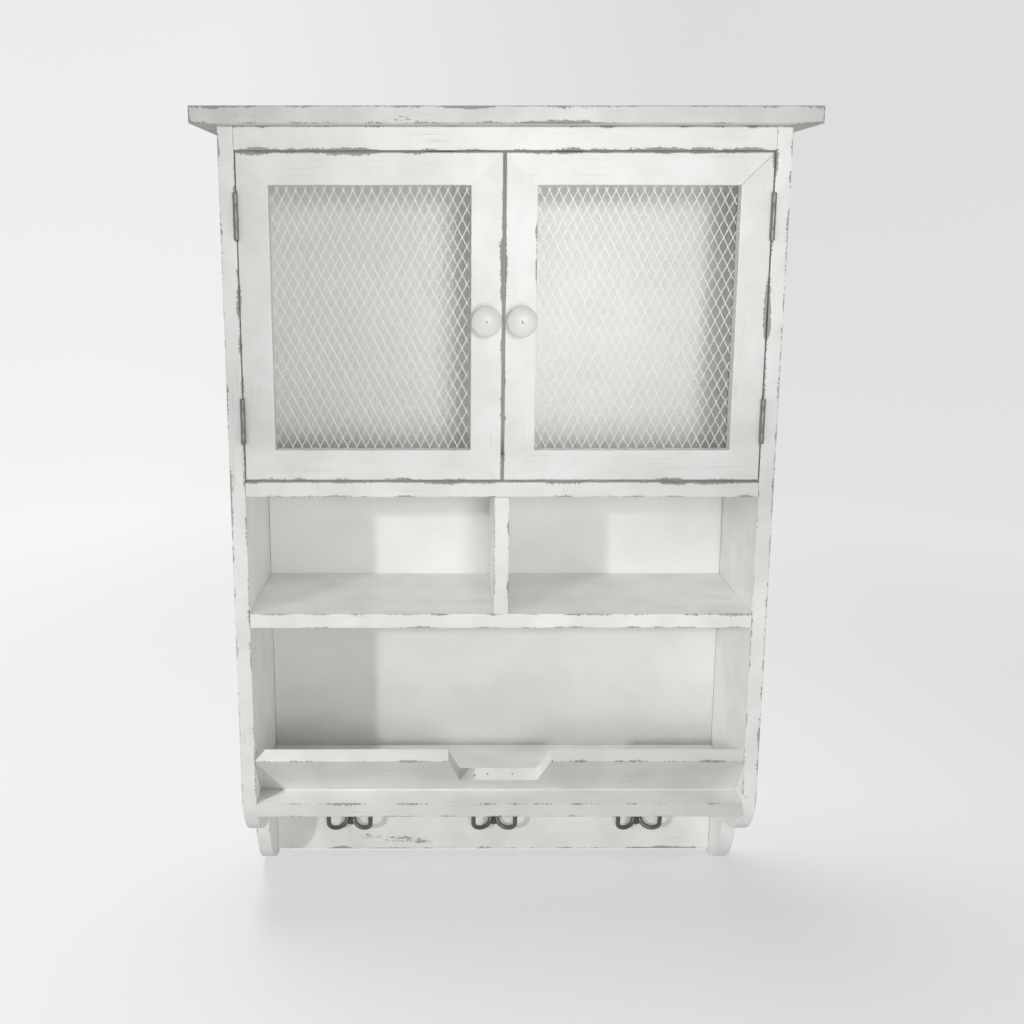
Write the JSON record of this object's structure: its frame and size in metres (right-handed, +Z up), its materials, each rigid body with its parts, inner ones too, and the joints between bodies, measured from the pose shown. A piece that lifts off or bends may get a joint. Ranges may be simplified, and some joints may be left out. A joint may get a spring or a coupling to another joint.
{
  "type": "wall cabinet with mesh doors",
  "caption": "White distressed wooden wall cabinet: diamond-mesh doors over open cubbies, a leaning letter-tray front with a notch, and a rail of double hooks.",
  "frame": {"origin": "on the wall plane at the rear face of the back panel, centred left to right, at the height of the wall screws through the hanging rail", "axes": "+Z up, +Y into the wall, +X to the right of someone facing the cabinet; the doors face -Y"},
  "size_m": [0.5886, 0.189, 0.842],
  "materials": {
    "painted_wood": "chalk white paint, rubbed through at the edges",
    "mesh_metal": "white enamel",
    "hook_iron": "dark, satin",
    "hinge_steel": "darkened",
    "screw_steel": "zinc plated",
    "catch_plastic": "moulded"
  },
  "bodies": {
    "carcass": {"cornice_board": "painted_wood", "left_side_panel": "painted_wood", "right_side_panel": "painted_wood", "back_panel": "painted_wood", "hanging_rail": "painted_wood", "top_rail": "painted_wood", "door_shelf": "painted_wood", "cubby_divider": "painted_wood", "cubby_shelf": "painted_wood", "bottom_shelf": "painted_wood", "tray_front": "painted_wood", "hook_rail": "painted_wood", "hook_left": "hook_iron", "hook_middle": "hook_iron", "hook_right": "hook_iron", "left_upper_hinge_frame_leaf": "hinge_steel", "left_lower_hinge_frame_leaf": "hinge_steel", "right_upper_hinge_frame_leaf": "hinge_steel", "right_lower_hinge_frame_leaf": "hinge_steel", "left_upper_hinge_pin": "hinge_steel", "left_lower_hinge_pin": "hinge_steel", "right_upper_hinge_pin": "hinge_steel", "right_lower_hinge_pin": "hinge_steel", "left_catch": "catch_plastic", "right_catch": "catch_plastic"},
    "left_door": {"left_door_top_rail": "painted_wood", "left_door_bottom_rail": "painted_wood", "left_door_hinge_stile": "painted_wood", "left_door_meeting_stile": "painted_wood", "left_door_mesh": "mesh_metal", "left_door_knob": "painted_wood", "left_door_knob_screw": "screw_steel", "left_door_upper_hinge_leaf": "hinge_steel", "left_door_lower_hinge_leaf": "hinge_steel", "left_door_strike": "screw_steel"},
    "right_door": {"right_door_top_rail": "painted_wood", "right_door_bottom_rail": "painted_wood", "right_door_hinge_stile": "painted_wood", "right_door_meeting_stile": "painted_wood", "right_door_mesh": "mesh_metal", "right_door_knob": "painted_wood", "right_door_knob_screw": "screw_steel", "right_door_upper_hinge_leaf": "hinge_steel", "right_door_lower_hinge_leaf": "hinge_steel", "right_door_strike": "screw_steel"}
  },
  "joints": [
    {"name": "left_door_hinge", "type": "hinge", "parent": "carcass", "child": "left_door", "pos_m": [-0.25675, -0.1673, -0.1602], "axis": [0, 0, -1], "range_deg": [0, 180]},
    {"name": "right_door_hinge", "type": "hinge", "parent": "carcass", "child": "right_door", "pos_m": [0.25675, -0.1673, -0.1602], "axis": [0, 0, 1], "range_deg": [0, 180]}
  ]
}
